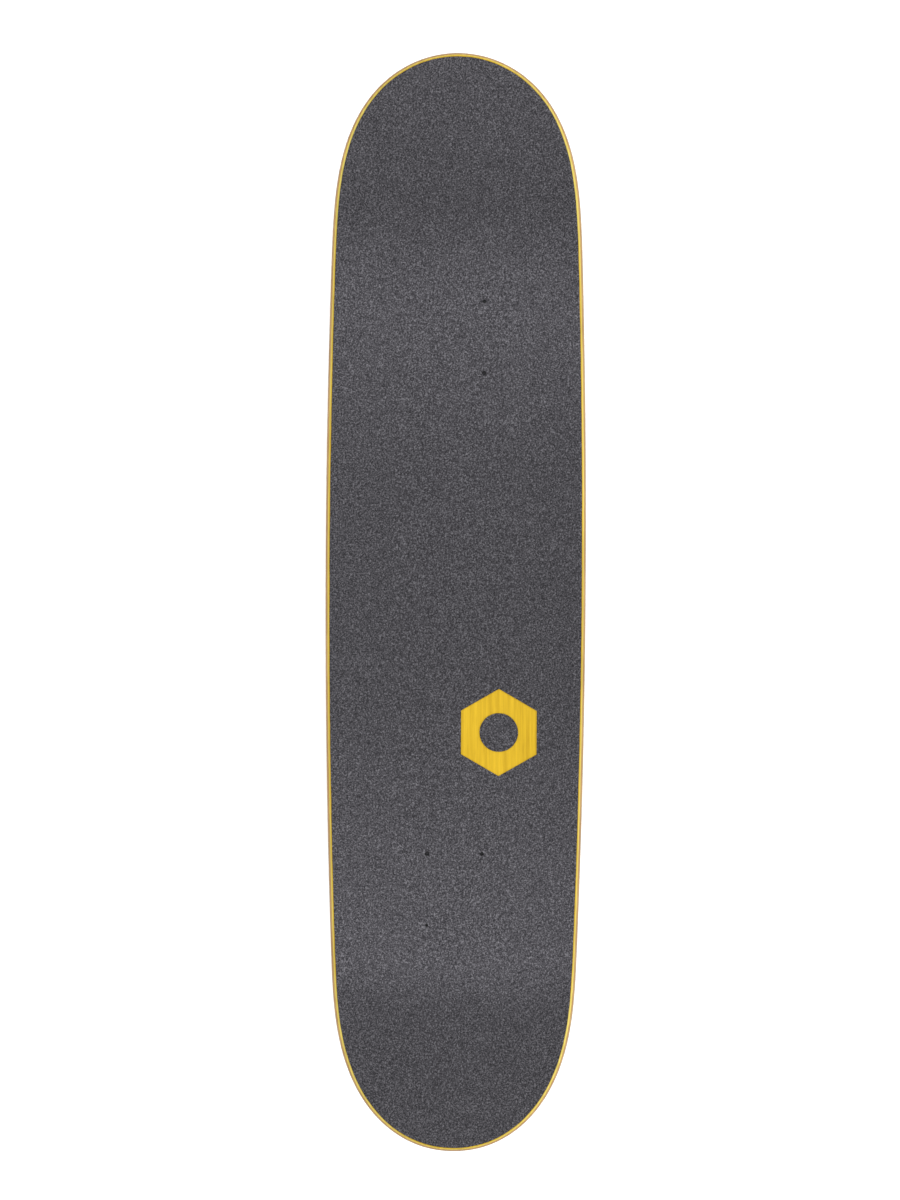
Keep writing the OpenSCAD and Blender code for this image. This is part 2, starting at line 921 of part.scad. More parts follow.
module front_bearing_spacers() {
    color(steel) front_truck() bearing_spacers();
}

module rear_baseplate() {
    color(cast_metal) rear_truck() baseplate();
}

module rear_pivot_cup() {
    color(urethane_black) rear_truck() pivot_cup();
}

module rear_kingpin() {
    color(steel) rear_truck() kingpin();
}

module rear_kingpin_nut() {
    color(steel) rear_truck() kingpin_nut();
}

module rear_boardside_washer() {
    color(steel) rear_truck() boardside_washer();
}

module rear_boardside_bushing() {
    color(urethane_black) rear_truck() boardside_bushing();
}

module rear_roadside_bushing() {
    color(urethane_black) rear_truck() roadside_bushing();
}

module rear_roadside_washer() {
    color(steel) rear_truck() roadside_washer();
}

module rear_hanger() {
    color(cast_metal) rear_truck() hanger();
}

module rear_axle() {
    color(steel) rear_truck() axle();
}

module rear_axle_nuts() {
    color(steel) rear_truck() axle_nuts();
}

module rear_speed_washers() {
    color(steel) rear_truck() speed_washers();
}

module rear_bearing_inner_rings() {
    color(steel) rear_truck() bearing_inner_rings();
}

module rear_bearing_spacers() {
    color(steel) rear_truck() bearing_spacers();
}

module front_left_wheel() {
    color(urethane_white) at_wheel(1, 1) wheel();
}

module front_left_bearing_outer_rings() {
    color(steel) at_wheel(1, 1) bearing_outer_rings();
}

module front_left_bearing_shields() {
    color(brass) at_wheel(1, 1) bearing_shields();
}

module front_left_bearing_balls() {
    color(steel) at_wheel(1, 1) bearing_balls();
}

module front_left_bearing_cages() {
    color(brass) at_wheel(1, 1) bearing_cages();
}

module front_right_wheel() {
    color(urethane_white) at_wheel(1, -1) wheel();
}

module front_right_bearing_outer_rings() {
    color(steel) at_wheel(1, -1) bearing_outer_rings();
}

module front_right_bearing_shields() {
    color(brass) at_wheel(1, -1) bearing_shields();
}

module front_right_bearing_balls() {
    color(steel) at_wheel(1, -1) bearing_balls();
}

module front_right_bearing_cages() {
    color(brass) at_wheel(1, -1) bearing_cages();
}

module rear_left_wheel() {
    color(urethane_white) at_wheel(-1, 1) wheel();
}

module rear_left_bearing_outer_rings() {
    color(steel) at_wheel(-1, 1) bearing_outer_rings();
}

module rear_left_bearing_shields() {
    color(brass) at_wheel(-1, 1) bearing_shields();
}

module rear_left_bearing_balls() {
    color(steel) at_wheel(-1, 1) bearing_balls();
}

module rear_left_bearing_cages() {
    color(brass) at_wheel(-1, 1) bearing_cages();
}

module rear_right_wheel() {
    color(urethane_white) at_wheel(-1, -1) wheel();
}

module rear_right_bearing_outer_rings() {
    color(steel) at_wheel(-1, -1) bearing_outer_rings();
}

module rear_right_bearing_shields() {
    color(brass) at_wheel(-1, -1) bearing_shields();
}

module rear_right_bearing_balls() {
    color(steel) at_wheel(-1, -1) bearing_balls();
}

module rear_right_bearing_cages() {
    color(brass) at_wheel(-1, -1) bearing_cages();
}

grip_tape();
ply_1();
ply_2();
ply_3();
ply_4();
ply_5();
ply_6();
ply_7();
mounting_bolts();
mounting_nuts();
front_baseplate();
front_pivot_cup();
front_kingpin();
front_kingpin_nut();
front_boardside_washer();
front_boardside_bushing();
front_roadside_bushing();
front_roadside_washer();
front_hanger();
front_axle();
front_axle_nuts();
front_speed_washers();
front_bearing_inner_rings();
front_bearing_spacers();
rear_baseplate();
rear_pivot_cup();
rear_kingpin();
rear_kingpin_nut();
rear_boardside_washer();
rear_boardside_bushing();
rear_roadside_bushing();
rear_roadside_washer();
rear_hanger();
rear_axle();
rear_axle_nuts();
rear_speed_washers();
rear_bearing_inner_rings();
rear_bearing_spacers();
front_left_wheel();
front_left_bearing_outer_rings();
front_left_bearing_shields();
front_left_bearing_balls();
front_left_bearing_cages();
front_right_wheel();
front_right_bearing_outer_rings();
front_right_bearing_shields();
front_right_bearing_balls();
front_right_bearing_cages();
rear_left_wheel();
rear_left_bearing_outer_rings();
rear_left_bearing_shields();
rear_left_bearing_balls();
rear_left_bearing_cages();
rear_right_wheel();
rear_right_bearing_outer_rings();
rear_right_bearing_shields();
rear_right_bearing_balls();
rear_right_bearing_cages();
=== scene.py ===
import json
import math

import bmesh
import bpy
from mathutils import Matrix, Vector, noise


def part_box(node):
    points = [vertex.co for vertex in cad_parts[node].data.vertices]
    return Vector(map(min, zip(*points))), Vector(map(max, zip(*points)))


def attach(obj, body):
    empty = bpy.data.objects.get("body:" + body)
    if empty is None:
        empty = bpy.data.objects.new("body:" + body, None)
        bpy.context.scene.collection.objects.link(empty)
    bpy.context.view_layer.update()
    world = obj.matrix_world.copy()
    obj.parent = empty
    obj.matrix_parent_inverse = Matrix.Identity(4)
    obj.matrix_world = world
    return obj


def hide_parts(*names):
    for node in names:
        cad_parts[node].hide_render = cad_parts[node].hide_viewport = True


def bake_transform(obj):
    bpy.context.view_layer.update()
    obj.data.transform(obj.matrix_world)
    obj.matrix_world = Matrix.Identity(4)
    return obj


# Metres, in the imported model's frame: +X to the nose, +Y to the left, +Z up, origin on the ground.
MM = 0.001

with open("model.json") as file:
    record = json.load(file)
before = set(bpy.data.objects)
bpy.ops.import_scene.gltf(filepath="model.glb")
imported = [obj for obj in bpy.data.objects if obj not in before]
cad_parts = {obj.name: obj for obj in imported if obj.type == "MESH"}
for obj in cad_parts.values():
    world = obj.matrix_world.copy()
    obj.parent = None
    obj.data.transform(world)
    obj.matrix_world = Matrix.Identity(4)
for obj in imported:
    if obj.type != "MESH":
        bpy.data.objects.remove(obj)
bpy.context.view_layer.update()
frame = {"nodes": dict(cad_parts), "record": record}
nodes = frame["nodes"]


# ---------- deck shape, in millimetres, as in the CAD model ----------

DECK_LENGTH = 812.8
DECK_WIDTH = 195.8
PLY_COUNT = 7
PLY = 1.5875
GRIP = 0.8
DECK_T = PLY_COUNT * PLY
EDGE_R = DECK_T / 2
CONCAVE_RISE = 9.5
FLAT_HALF = 30.0
WIDEST_X = 27.5
SIDE_TAPER = 0.059
NOSE_ROUND, NOSE_POWER, NOSE_ROOT = 170.5, 3.7, 1.98
TAIL_ROUND, TAIL_POWER, TAIL_ROOT = 146.0, 3.0, 2.08
END_ZONE = 110.0
NOSE_ANGLE = math.radians(20.5)
TAIL_ANGLE = math.radians(20)
NOSE_BEND_R = 125.0
TAIL_BEND_R = 105.0
NOSE_FLAT = 18.5
TAIL_FLAT = 22.0
WHEELBASE = 361.95
WHEELBASE_X = -7.9
BOLT_PITCH_X = 53.975
BOLT_PITCH_Y = 41.275
TAPER_REACH = 300.0
SHOULDER_DEPTH = 0.39
CONCAVE_FADE = 120.0
CONCAVE_LOSS = 0.5

HALF_LENGTH = DECK_LENGTH / 2
HALF_WIDTH = DECK_WIDTH / 2
NOSE_START = HALF_LENGTH - NOSE_ROUND
TAIL_START = TAIL_ROUND - HALF_LENGTH
FRONT_X = WHEELBASE_X + WHEELBASE / 2 + BOLT_PITCH_X / 2
REAR_X = WHEELBASE_X - WHEELBASE / 2 - BOLT_PITCH_X / 2
NOSE_BEND_X = FRONT_X + BOLT_PITCH_X / 2 + NOSE_FLAT
TAIL_BEND_X = REAR_X - BOLT_PITCH_X / 2 - TAIL_FLAT
UNDER_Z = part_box("front_baseplate")[1][2] / MM
TOP_Z = UNDER_Z + DECK_T

BOLT_R = 2.4
BOLT_HOLE_R = 2.7
BOLT_HEAD_R = 4.5
BOLT_LENGTH = 25.4
SOCKET_R = 1.6 / math.cos(math.radians(30))
SOCKET_DEPTH = 1.9
BOLT_HEAD_H = (BOLT_HEAD_R - BOLT_R) / math.tan(math.radians(41))
COUNTERSINK_R = BOLT_HEAD_R + 0.14

MARK_X = -97.5
MARK_Y = -33.0
MARK_FLATS = 57.0
MARK_ISLAND = 29.0


def bend(d, r, a):
    """Rise of an arc of radius r that turns by angle a and then goes on straight."""
    if d <= 0:
        return 0.0
    if d < r * math.sin(a):
        return r - math.sqrt(r * r - d * d)
    return r * (1 - math.cos(a)) + (d - r * math.sin(a)) * math.tan(a)


def bend_slope(d, r, a):
    """Slope of the same arc."""
    if d <= 0:
        return 0.0
    if d < r * math.sin(a):
        return d / math.sqrt(r * r - d * d)
    return math.tan(a)


def kick(x):
    """Rise of the nose and the tail."""
    return bend(x - NOSE_BEND_X, NOSE_BEND_R, NOSE_ANGLE) + bend(TAIL_BEND_X - x, TAIL_BEND_R, TAIL_ANGLE)


def kick_slope(x):
    """Slope of the nose and the tail, out from the middle."""
    nose = bend_slope(x - NOSE_BEND_X, NOSE_BEND_R, NOSE_ANGLE)
    tail = bend_slope(TAIL_BEND_X - x, TAIL_BEND_R, TAIL_ANGLE)
    return nose + tail


def concave_scale(x):
    """Steepness of the concave, which fades along the nose and the tail."""
    run = min(1.0, max(x - NOSE_BEND_X, TAIL_BEND_X - x, 0.0) / CONCAVE_FADE)
    return CONCAVE_RISE * (1 - CONCAVE_LOSS * run * run) / (HALF_WIDTH - FLAT_HALF) ** 2


def surface_z(x, y, depth):
    """Height of the surface that lies depth under the deck's top face."""
    out = max(0.0, abs(y) - FLAT_HALF)
    scale = concave_scale(x)
    steepness = math.sqrt(1 + kick_slope(x) ** 2 + (2 * scale * out) ** 2)
    return TOP_Z + kick(x) + scale * out * out - depth * steepness


def end_share(x):
    """Share of the side's own width that is left where the nose and the tail round off."""
    if x > NOSE_START:
        return max(0.0, 1 - ((x - NOSE_START) / NOSE_ROUND) ** NOSE_POWER) ** (1 / NOSE_ROOT)
    if x < TAIL_START:
        return max(0.0, 1 - ((TAIL_START - x) / TAIL_ROUND) ** TAIL_POWER) ** (1 / TAIL_ROOT)
    return 1.0


def half_width(x):
    """Half of the board's width at x."""
    return HALF_WIDTH * (1 - SIDE_TAPER * ((x - WIDEST_X) / TAPER_REACH) ** 2) * end_share(x)


def outline_normal(x):
    """Outward direction across the left rail, as its x and y parts."""
    step = 0.005
    slope = (half_width(x + step) - half_width(x - step)) / (2 * step)
    length = math.hypot(slope, 1)
    return -slope / length, 1 / length


def edge_inset(depth):
    """Distance from the outline in to the full round edge, at a depth under the top face."""
    return EDGE_R - math.sqrt(max(0.0, EDGE_R**2 - (EDGE_R - depth) ** 2))


def stations(end_steps, mid_steps):
    """Places along the board, closer together towards the tips."""
    outermost = math.radians(88.5)
    zone_x = HALF_LENGTH - END_ZONE
    quarter = [math.sin(outermost * (1 - i / end_steps)) for i in range(end_steps)]
    nose = [zone_x + END_ZONE * q for q in quarter]
    middle = [zone_x * (1 - 2 * i / mid_steps) for i in range(mid_steps + 1)]
    return nose + middle + [-x for x in reversed(nose)]


class Sheet:
    """A closed sheet between two surfaces of the deck, its edge shaped by rings of (depth, inset)."""

    def __init__(self, station_x, cols):
        self.station_x = station_x
        self.cols = cols
        self.mid = cols // 2
        self.bm = bmesh.new()

    def point(self, x, col, depth, inset):
        """A vertex of one column, where the outline is drawn in by inset."""
        nx, ny = outline_normal(x)
        edge = half_width(x) - inset * ny
        px = x - inset * nx
        y = edge * (col - self.mid) / self.mid
        return self.bm.verts.new(Vector((px, y, surface_z(px, y, depth))) * MM)

    def tip(self, end, depth, inset):
        """The vertex at the nose's tip (end 1) or the tail's (end -1)."""
        x = end * (HALF_LENGTH - inset)
        return self.bm.verts.new(Vector((x, 0, surface_z(x, 0, depth))) * MM)

    def surface(self, depth, inset):
        """A whole face of the sheet; returns its outer loop."""
        last = self.cols - 1
        grid = [[self.point(x, c, depth, inset) for c in range(self.cols)] for x in self.station_x]
        nose, tail = self.tip(1, depth, inset), self.tip(-1, depth, inset)
        for a, b in zip(grid, grid[1:]):
            for c in range(last):
                self.bm.faces.new((a[c], a[c + 1], b[c + 1], b[c]))
        for end, row in ((nose, grid[0]), (tail, grid[-1])):
            for c in range(last):
                self.bm.faces.new((end, row[c], row[c + 1]))
        return [nose] + [row[last] for row in grid] + [tail] + [row[0] for row in reversed(grid)]

    def ring(self, depth_at, inset_at):
        """A loop round the edge; both arguments are functions of the place round it, from 0 to 1."""
        last = self.cols - 1
        count = 2 * len(self.station_x) + 2
        places = [(1, None)] + [(x, last) for x in self.station_x]
        places += [(-1, None)] + [(x, 0) for x in reversed(self.station_x)]
        loop = []
        for i, (x, col) in enumerate(places):
            depth, inset = depth_at(i / count), inset_at(i / count)
            if col is None:
                loop.append(self.tip(x, depth, inset))
            else:
                loop.append(self.point(x, col, depth, inset))
        return loop

    def wall(self, upper, lower):
        """Faces between two loops."""
        for i in range(len(upper)):
            j = (i + 1) % len(upper)
            self.bm.faces.new((upper[i], upper[j], lower[j], lower[i]))

    def finish(self, name, sharp_deg):
        bmesh.ops.recalc_face_normals(self.bm, faces=self.bm.faces)
        return object_from(self.bm, name, sharp_deg)


# ---------- mesh helpers ----------


def object_from(bm, name, sharp_deg=35):
    mesh = bpy.data.meshes.new(name)
    bm.to_mesh(mesh)
    bm.free()
    obj = bpy.data.objects.new(name, mesh)
    bpy.context.scene.collection.objects.link(obj)
    smooth(obj, sharp_deg)
    return obj


def smooth(obj, sharp_deg):
    obj.data.shade_smooth()
    obj.data.set_sharp_from_angle(angle=math.radians(sharp_deg))


def circle_points(x, y, radius, count, turn=0.0):
    """Points spaced evenly round a circle, the first one at the angle turn."""
    angles = [2 * math.pi * i / count + turn for i in range(count)]
    return [(x + radius * math.cos(angle), y + radius * math.sin(angle)) for angle in angles]


def apply_modifiers(obj):
    """Bakes obj's modifiers into its mesh."""
    bpy.context.view_layer.update()
    depsgraph = bpy.context.evaluated_depsgraph_get()
    mesh = bpy.data.meshes.new_from_object(obj.evaluated_get(depsgraph))
    obj.modifiers.clear()
    obj.data = mesh


def cut(obj, tools, sharp_deg=35):
    """Cuts the tool objects out of obj and deletes them."""
    for tool in tools:
        change = obj.modifiers.new("cut", "BOOLEAN")
        change.operation = "DIFFERENCE"
        change.solver = "EXACT"
        change.object = tool
    apply_modifiers(obj)
    for tool in tools:
        bpy.data.objects.remove(tool)
    smooth(obj, sharp_deg)


def prism(name, outline, low, high):
    """A vertical prism on a closed outline of (x, y), between two heights, all in millimetres."""
    bm = bmesh.new()
    bottom = [bm.verts.new(Vector((x, y, low)) * MM) for x, y in outline]
    top = [bm.verts.new(Vector((x, y, high)) * MM) for x, y in outline]
    bm.faces.new(list(reversed(bottom)))
    bm.faces.new(top)
    for i in range(len(outline)):
        j = (i + 1) % len(outline)
        bm.faces.new((bottom[i], bottom[j], top[j], top[i]))
    return object_from(bm, name)


def lathe(name, profile, segments, placing, sharp_deg=35):
    """Turns a profile of (radius, height) in millimetres round the placing matrix's Z axis. A point with no
    radius is one vertex on the axis; a profile that stays off the axis is closed on itself."""
    bm = bmesh.new()
    rings = []
    for r, h in profile:
        if r == 0:
            rings.append([bm.verts.new((placing @ Vector((0, 0, h))) * MM)] * segments)
            continue
        round_points = circle_points(0, 0, r, segments)
        rings.append([bm.verts.new((placing @ Vector((x, y, h))) * MM) for x, y in round_points])
    pairs = list(zip(rings, rings[1:]))
    if profile[0][0] > 0:
        pairs.append((rings[-1], rings[0]))
    for a, b in pairs:
        for s in range(segments):
            n = (s + 1) % segments
            # Where one ring is the vertex on the axis, the face has three corners
            bm.faces.new(list(dict.fromkeys((a[s], a[n], b[n], b[s]))))
    bmesh.ops.recalc_face_normals(bm, faces=bm.faces)
    return object_from(bm, name, sharp_deg)


# Most that one corner's rounding takes of a side, the rounding that isn't worth its points, and its steps
CORNER_SHARE = 0.45
SHARP_BELOW = 0.01
CORNER_STEPS = 4


def softened(points):
    """A closed profile of (x, y, radius) with each corner rounded by about its own radius."""
    made = []
    for i, (x, y, radius) in enumerate(points):
        here = Vector((x, y))
        back = Vector(points[i - 1][:2]) - here
        ahead = Vector(points[(i + 1) % len(points)][:2]) - here
        reach = min(radius, CORNER_SHARE * back.length, CORNER_SHARE * ahead.length)
        if reach < SHARP_BELOW:
            made.append(tuple(here))
            continue
        a, b = here + back.normalized() * reach, here + ahead.normalized() * reach
        for s in range(CORNER_STEPS + 1):
            u = s / CORNER_STEPS
            made.append(tuple(a * (1 - u) ** 2 + here * (2 * u * (1 - u)) + b * u * u))
    return made


def joined(name, parts):
    """One object with the meshes of all parts."""
    bm = bmesh.new()
    for part in parts:
        bm.from_mesh(part.data)
        bpy.data.objects.remove(part)
    return object_from(bm, name)


# ---------- materials ----------


class Material:
    """A node material round one Principled shader, with object coordinates in millimetres."""

    def __init__(self, name, rough, metal=0.0):
        self.data = bpy.data.materials.new(name)
        self.data.use_nodes = True
        self.tree = self.data.node_tree
        self.shader = self.tree.nodes["Principled BSDF"]
        self.shader.inputs["Roughness"].default_value = rough
        self.shader.inputs["Metallic"].default_value = metal
        self.height = None

    def node(self, kind, **settings):
        made = self.tree.nodes.new(kind)
        for key, value in settings.items():
            setattr(made, key, value)
        return made

    def link(self, source, target):
        self.tree.links.new(source, target)

    def place(self, scale):
        """Object coordinates in millimetres, scaled along each axis."""
        coords = self.node("ShaderNodeTexCoord")
        mapping = self.node("ShaderNodeMapping")
        mapping.inputs["Scale"].default_value = [s / MM for s in scale]
        self.link(coords.outputs["Object"], mapping.inputs["Vector"])
        return mapping.outputs["Vector"]

    def noise(self, scale, detail, rough=0.5, distort=0.0):
        """Noise whose features are about 1 / scale millimetres along each axis."""
        made = self.node("ShaderNodeTexNoise")
        made.inputs["Scale"].default_value = 1.0
        made.inputs["Detail"].default_value = detail
        made.inputs["Roughness"].default_value = rough
        made.inputs["Distortion"].default_value = distort
        self.link(self.place(scale), made.inputs["Vector"])
        return made.outputs["Fac"]

    def cells(self, scale):
        """Distance from the middles of scattered cells about 1 / scale millimetres wide."""
        made = self.node("ShaderNodeTexVoronoi", feature="F1")
        made.inputs["Scale"].default_value = 1.0
        self.link(self.place(scale), made.inputs["Vector"])
        return made.outputs["Distance"]

    def ramp(self, source, *stops):
        """Colours or grey levels along source; each stop is (place, colour or level)."""
        made = self.node("ShaderNodeValToRGB")
        ramp = made.color_ramp
        while len(ramp.elements) < len(stops):
            ramp.elements.new(0.5)
        for element, (place, value) in zip(ramp.elements, stops):
            element.position = place
            element.color = (*value, 1) if isinstance(value, tuple) else (value, value, value, 1)
        self.link(source, made.inputs["Fac"])
        return made.outputs["Color"]

    def mix(self, amount, a, b, blend="MIX"):
        """Mixes two colours; amount, a and b may each be a socket or a value."""
        made = self.node("ShaderNodeMix", data_type="RGBA", blend_type=blend)
        for socket, value in ((made.inputs[0], amount), (made.inputs[6], a), (made.inputs[7], b)):
            if isinstance(value, bpy.types.NodeSocket):
                self.link(value, socket)
            elif isinstance(value, tuple):
                socket.default_value = (*value, 1)
            else:
                socket.default_value = value
        return made.outputs[2]

    def math(self, operation, a, b):
        """One math node; a and b may each be a socket or a number."""
        made = self.node("ShaderNodeMath", operation=operation)
        for socket, value in zip(made.inputs, (a, b)):
            if isinstance(value, bpy.types.NodeSocket):
                self.link(value, socket)
            else:
                socket.default_value = value
        return made.outputs[0]

    def color(self, source):
        self.link(source, self.shader.inputs["Base Color"])

    def roughness(self, source):
        self.link(source, self.shader.inputs["Roughness"])

    def bump(self, source, depth, strength):
        """Bump of the given depth in millimetres; later calls add to earlier ones."""
        made = self.node("ShaderNodeBump")
        made.inputs["Strength"].default_value = strength
        made.inputs["Distance"].default_value = depth * MM
        self.link(source, made.inputs["Height"])
        if self.height is not None:
            self.link(self.height, made.inputs["Normal"])
        self.height = made.outputs["Normal"]
        self.link(self.height, self.shader.inputs["Normal"])


# Painted light and shade on the grip tape along the board, as levels that scale its colour (brighter bands
# near the trucks, a darker nose and tail), from the tail's tip at 0 to the nose's tip at 1
GRIP_LIGHT_BANDS = (
    (0.08, 0.81), (0.12, 0.84), (0.165, 1.16), (0.32, 0.95), (0.4, 0.82), (0.5, 0.8),
    (0.62, 0.84), (0.77, 1.12), (0.8, 1.07), (0.865, 0.83), (0.96, 0.93),
)
GRIP_LIGHT_SCALE = 0.8
# Waves across the zones of painted light and shade, and the shift that centres them
GRIP_LIGHT_WAVE = 0.03
GRIP_LIGHT_START = 0.485


def grip_material():
    """Black silicon carbide grit: dark grains, painted glints on a few facets, and painted light and shade
    along the board.
    """
    m = Material("grip_grit", 0.7)
    m.shader.inputs["Specular IOR Level"].default_value = 0.2
    grains = m.noise((0.85, 0.85, 0.85), detail=3, rough=0.75)
    crystals = m.cells((1.1, 1.1, 1.1))
    cloud = m.noise((0.02, 0.02, 0.02), detail=3)
    dark, grey, pale = (0.015, 0.014, 0.0175), (0.06, 0.0575, 0.066), (0.222, 0.216, 0.237)
    base = m.ramp(grains, (0.38, dark), (0.53, grey), (0.68, pale))
    # Painted glints: near the middle of each grit cell the colour is mixed towards pale grey, standing in
    # for facets that catch the light
    painted_glints = m.ramp(crystals, (0.1, 0.7), (0.32, 0.0))
    speckled = m.mix(painted_glints, base, (0.25, 0.244, 0.269))
    along = m.node("ShaderNodeSeparateXYZ")
    m.link(m.place((0.5 / HALF_LENGTH, 1, 1)), along.inputs[0])
    waved = m.math("ADD", m.math("ADD", along.outputs[0], GRIP_LIGHT_START), m.math("MULTIPLY", cloud, GRIP_LIGHT_WAVE))
    # Painted light and shade: the grip's colour is scaled along the board, lighter near the trucks and
    # darker at the nose and tail
    painted_light = m.ramp(waved, *[(place, GRIP_LIGHT_SCALE * level) for place, level in GRIP_LIGHT_BANDS])
    m.color(m.mix(1.0, speckled, painted_light, "MULTIPLY"))
    m.bump(grains, 0.3, 0.5)
    m.bump(crystals, 0.2, 0.35)
    return m.data


# Scale of a veneer's streaks along each axis: seen on its face, seen on its edge, and laid across the board
FACE_GRAIN = (0.012, 0.42, 0.07)
EDGE_GRAIN = (0.03, 0.4, 1.1)
CROSS_GRAIN = (0.7, 0.03, 1.1)
RIM_GLOSS = 0.5


def wood_material(name, dark, light, rough=0.5, gloss=0.3, coat=0.0, grain=FACE_GRAIN, rim=None):
    """Maple veneer; rim holds the dark and the light colour of the round edge, which is paler partly where
    the stain is sanded thin and partly as a painted highlight.
    """
    m = Material(name, rough)
    m.shader.inputs["Specular IOR Level"].default_value = gloss
    m.shader.inputs["Coat Weight"].default_value = coat
    m.shader.inputs["Coat Roughness"].default_value = 0.12
    streaks = m.noise(grain, detail=4, rough=0.62, distort=0.3)
    pores = m.noise([5 * s for s in grain], detail=2)
    cloud = m.noise((0.006, 0.03, 0.03), detail=2)
    base = m.ramp(streaks, (0.36, dark), (0.62, light))
    if rim:
        facing = m.node("ShaderNodeSeparateXYZ")
        m.link(m.node("ShaderNodeTexCoord").outputs["Normal"], facing.inputs[0])
        # The round edge, found by how far its normal tips from vertical, gets the paler rim colour: partly
        # sanded stain, partly a painted highlight
        sanded_and_highlit = m.ramp(facing.outputs["Z"], (0.9, 1.0), (0.95, 0.0))
        base = m.mix(sanded_and_highlit, base, m.ramp(streaks, (0.36, rim[0]), (0.62, rim[1])))
        shine = m.ramp(sanded_and_highlit, (0.0, gloss), (1.0, RIM_GLOSS))
        m.link(shine, m.shader.inputs["Specular IOR Level"])
    shade = m.ramp(pores, (0.28, (0.84, 0.82, 0.8)), (0.46, (1.0, 1.0, 1.0)))
    tone = m.ramp(cloud, (0.3, (0.93, 0.92, 0.9)), (0.7, (1.04, 1.04, 1.05)))
    m.color(m.mix(1.0, m.mix(1.0, base, shade, "MULTIPLY"), tone, "MULTIPLY"))
    m.roughness(m.ramp(streaks, (0.3, rough + 0.1), (0.7, rough - 0.05)))
    m.bump(pores, 0.05, 0.4)
    return m.data


def cast_material():
    """Tumbled cast aluminium."""
    m = Material("cast_aluminium", 0.42, 1.0)
    grit = m.noise((1.3, 1.3, 1.3), detail=4, rough=0.6)
    cloud = m.noise((0.07, 0.07, 0.07), detail=3)
    m.color(m.ramp(cloud, (0.3, (0.55, 0.56, 0.58)), (0.7, (0.68, 0.69, 0.70))))
    m.roughness(m.ramp(cloud, (0.3, 0.48), (0.7, 0.34)))
    m.bump(grit, 0.14, 0.5)
    return m.data


def steel_material(name, dark, light, rough, metal=1.0, gloss=0.5):
    """Plated or blackened steel, with a faint grain in its shine."""
    m = Material(name, rough, metal)
    m.shader.inputs["Specular IOR Level"].default_value = gloss
    cloud = m.noise((0.25, 0.25, 0.25), detail=4, rough=0.6)
    fine = m.noise((4.0, 4.0, 4.0), detail=2)
    m.color(m.ramp(cloud, (0.3, dark), (0.7, light)))
    m.roughness(m.ramp(fine, (0.3, rough + 0.08), (0.7, rough - 0.05)))
    m.bump(fine, 0.02, 0.3)
    return m.data


def urethane_material(name, dark, light, rough):
    """Cast urethane or nylon, a little cloudy."""
    m = Material(name, rough)
    m.shader.inputs["Subsurface Weight"].default_value = 0.08
    m.shader.inputs["Subsurface Radius"].default_value = (0.004, 0.003, 0.002)
    cloud = m.noise((0.09, 0.09, 0.09), detail=3)
    fine = m.noise((2.2, 2.2, 2.2), detail=3)
    m.color(m.ramp(cloud, (0.3, dark), (0.7, light)))
    m.roughness(m.ramp(fine, (0.3, rough + 0.1), (0.7, rough - 0.06)))
    m.bump(fine, 0.03, 0.35)
    return m.data


# Colours of the yellow veneer's round edge, paler and more lemon than its face: partly its stain sanded
# thin, partly a painted highlight
YELLOW_RIM_SANDED_AND_LIT = ((0.54, 0.43, 0.075), (0.69, 0.56, 0.11))

MATERIALS = {
    "grip": grip_material(),
    "ply_yellow": wood_material(
        "maple_yellow", (0.50, 0.31, 0.013), (0.63, 0.405, 0.018), 0.6, 0.12, rim=YELLOW_RIM_SANDED_AND_LIT
    ),
    "ply_orange": wood_material("maple_orange", (0.35, 0.19, 0.06), (0.50, 0.31, 0.11), grain=EDGE_GRAIN),
    "ply_maple": wood_material("maple_plain", (0.43, 0.33, 0.23), (0.58, 0.47, 0.35), grain=EDGE_GRAIN),
    "ply_cross": wood_material(
        "maple_crossband", (0.28, 0.215, 0.15), (0.40, 0.32, 0.24), grain=CROSS_GRAIN
    ),
    "ply_bottom": wood_material("maple_lacquered", (0.50, 0.33, 0.19), (0.67, 0.48, 0.30), 0.38, coat=0.5),
    "black_steel": steel_material(
        "black_oxide_steel", (0.004, 0.004, 0.005), (0.012, 0.012, 0.014), 0.42, metal=0.5, gloss=0.25
    ),
    "steel": steel_material("zinc_plated_steel", (0.52, 0.53, 0.55), (0.66, 0.67, 0.69), 0.3),
    "bearing_steel": steel_material("bearing_steel", (0.58, 0.59, 0.61), (0.72, 0.73, 0.75), 0.18),
    "cast": cast_material(),
    "bushing": urethane_material("bushing_urethane", (0.016, 0.016, 0.018), (0.03, 0.03, 0.033), 0.42),
    "wheel": urethane_material("wheel_urethane", (0.60, 0.58, 0.51), (0.68, 0.66, 0.59), 0.38),
    "cage": urethane_material("cage_nylon", (0.62, 0.55, 0.38), (0.72, 0.66, 0.48), 0.5),
}


def dress(obj, material, slot, body, *replaced):
    """Gives a piece its material and its body, and hides what it replaces; slot is not used."""
    obj.data.materials.clear()
    obj.data.materials.append(MATERIALS[material])
    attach(obj, body)
    if replaced:
        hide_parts(*replaced)


# ---------- deck ----------

# How far the cutting tools reach past the deck's flat middle, and how far over it where they cut the tape
CUT_PAST, CUT_OVER = 5.0, 15.0
# Groove at the glue lines, and the least part of a veneer's edge that its corners take
GLUE_GROOVE = 0.09
CORNER = 0.05


def edge_rings(sheet, upper, lower, steps):
    """Rings of the round edge from one depth to another, both included."""
    for i in range(steps + 1):
        depth = upper + (lower - upper) * i / steps
        yield sheet.ring(lambda u, d=depth: d, lambda u, d=depth: edge_inset(d))


def bolt_places():
    """Place of each truck bolt, with its end, its row and its side as signs."""
    for end, cx in ((1, FRONT_X), (-1, REAR_X)):
        for row in (1, -1):
            for side in (1, -1):
                yield cx + row * end * BOLT_PITCH_X / 2, side * BOLT_PITCH_Y / 2, (end, row, side)


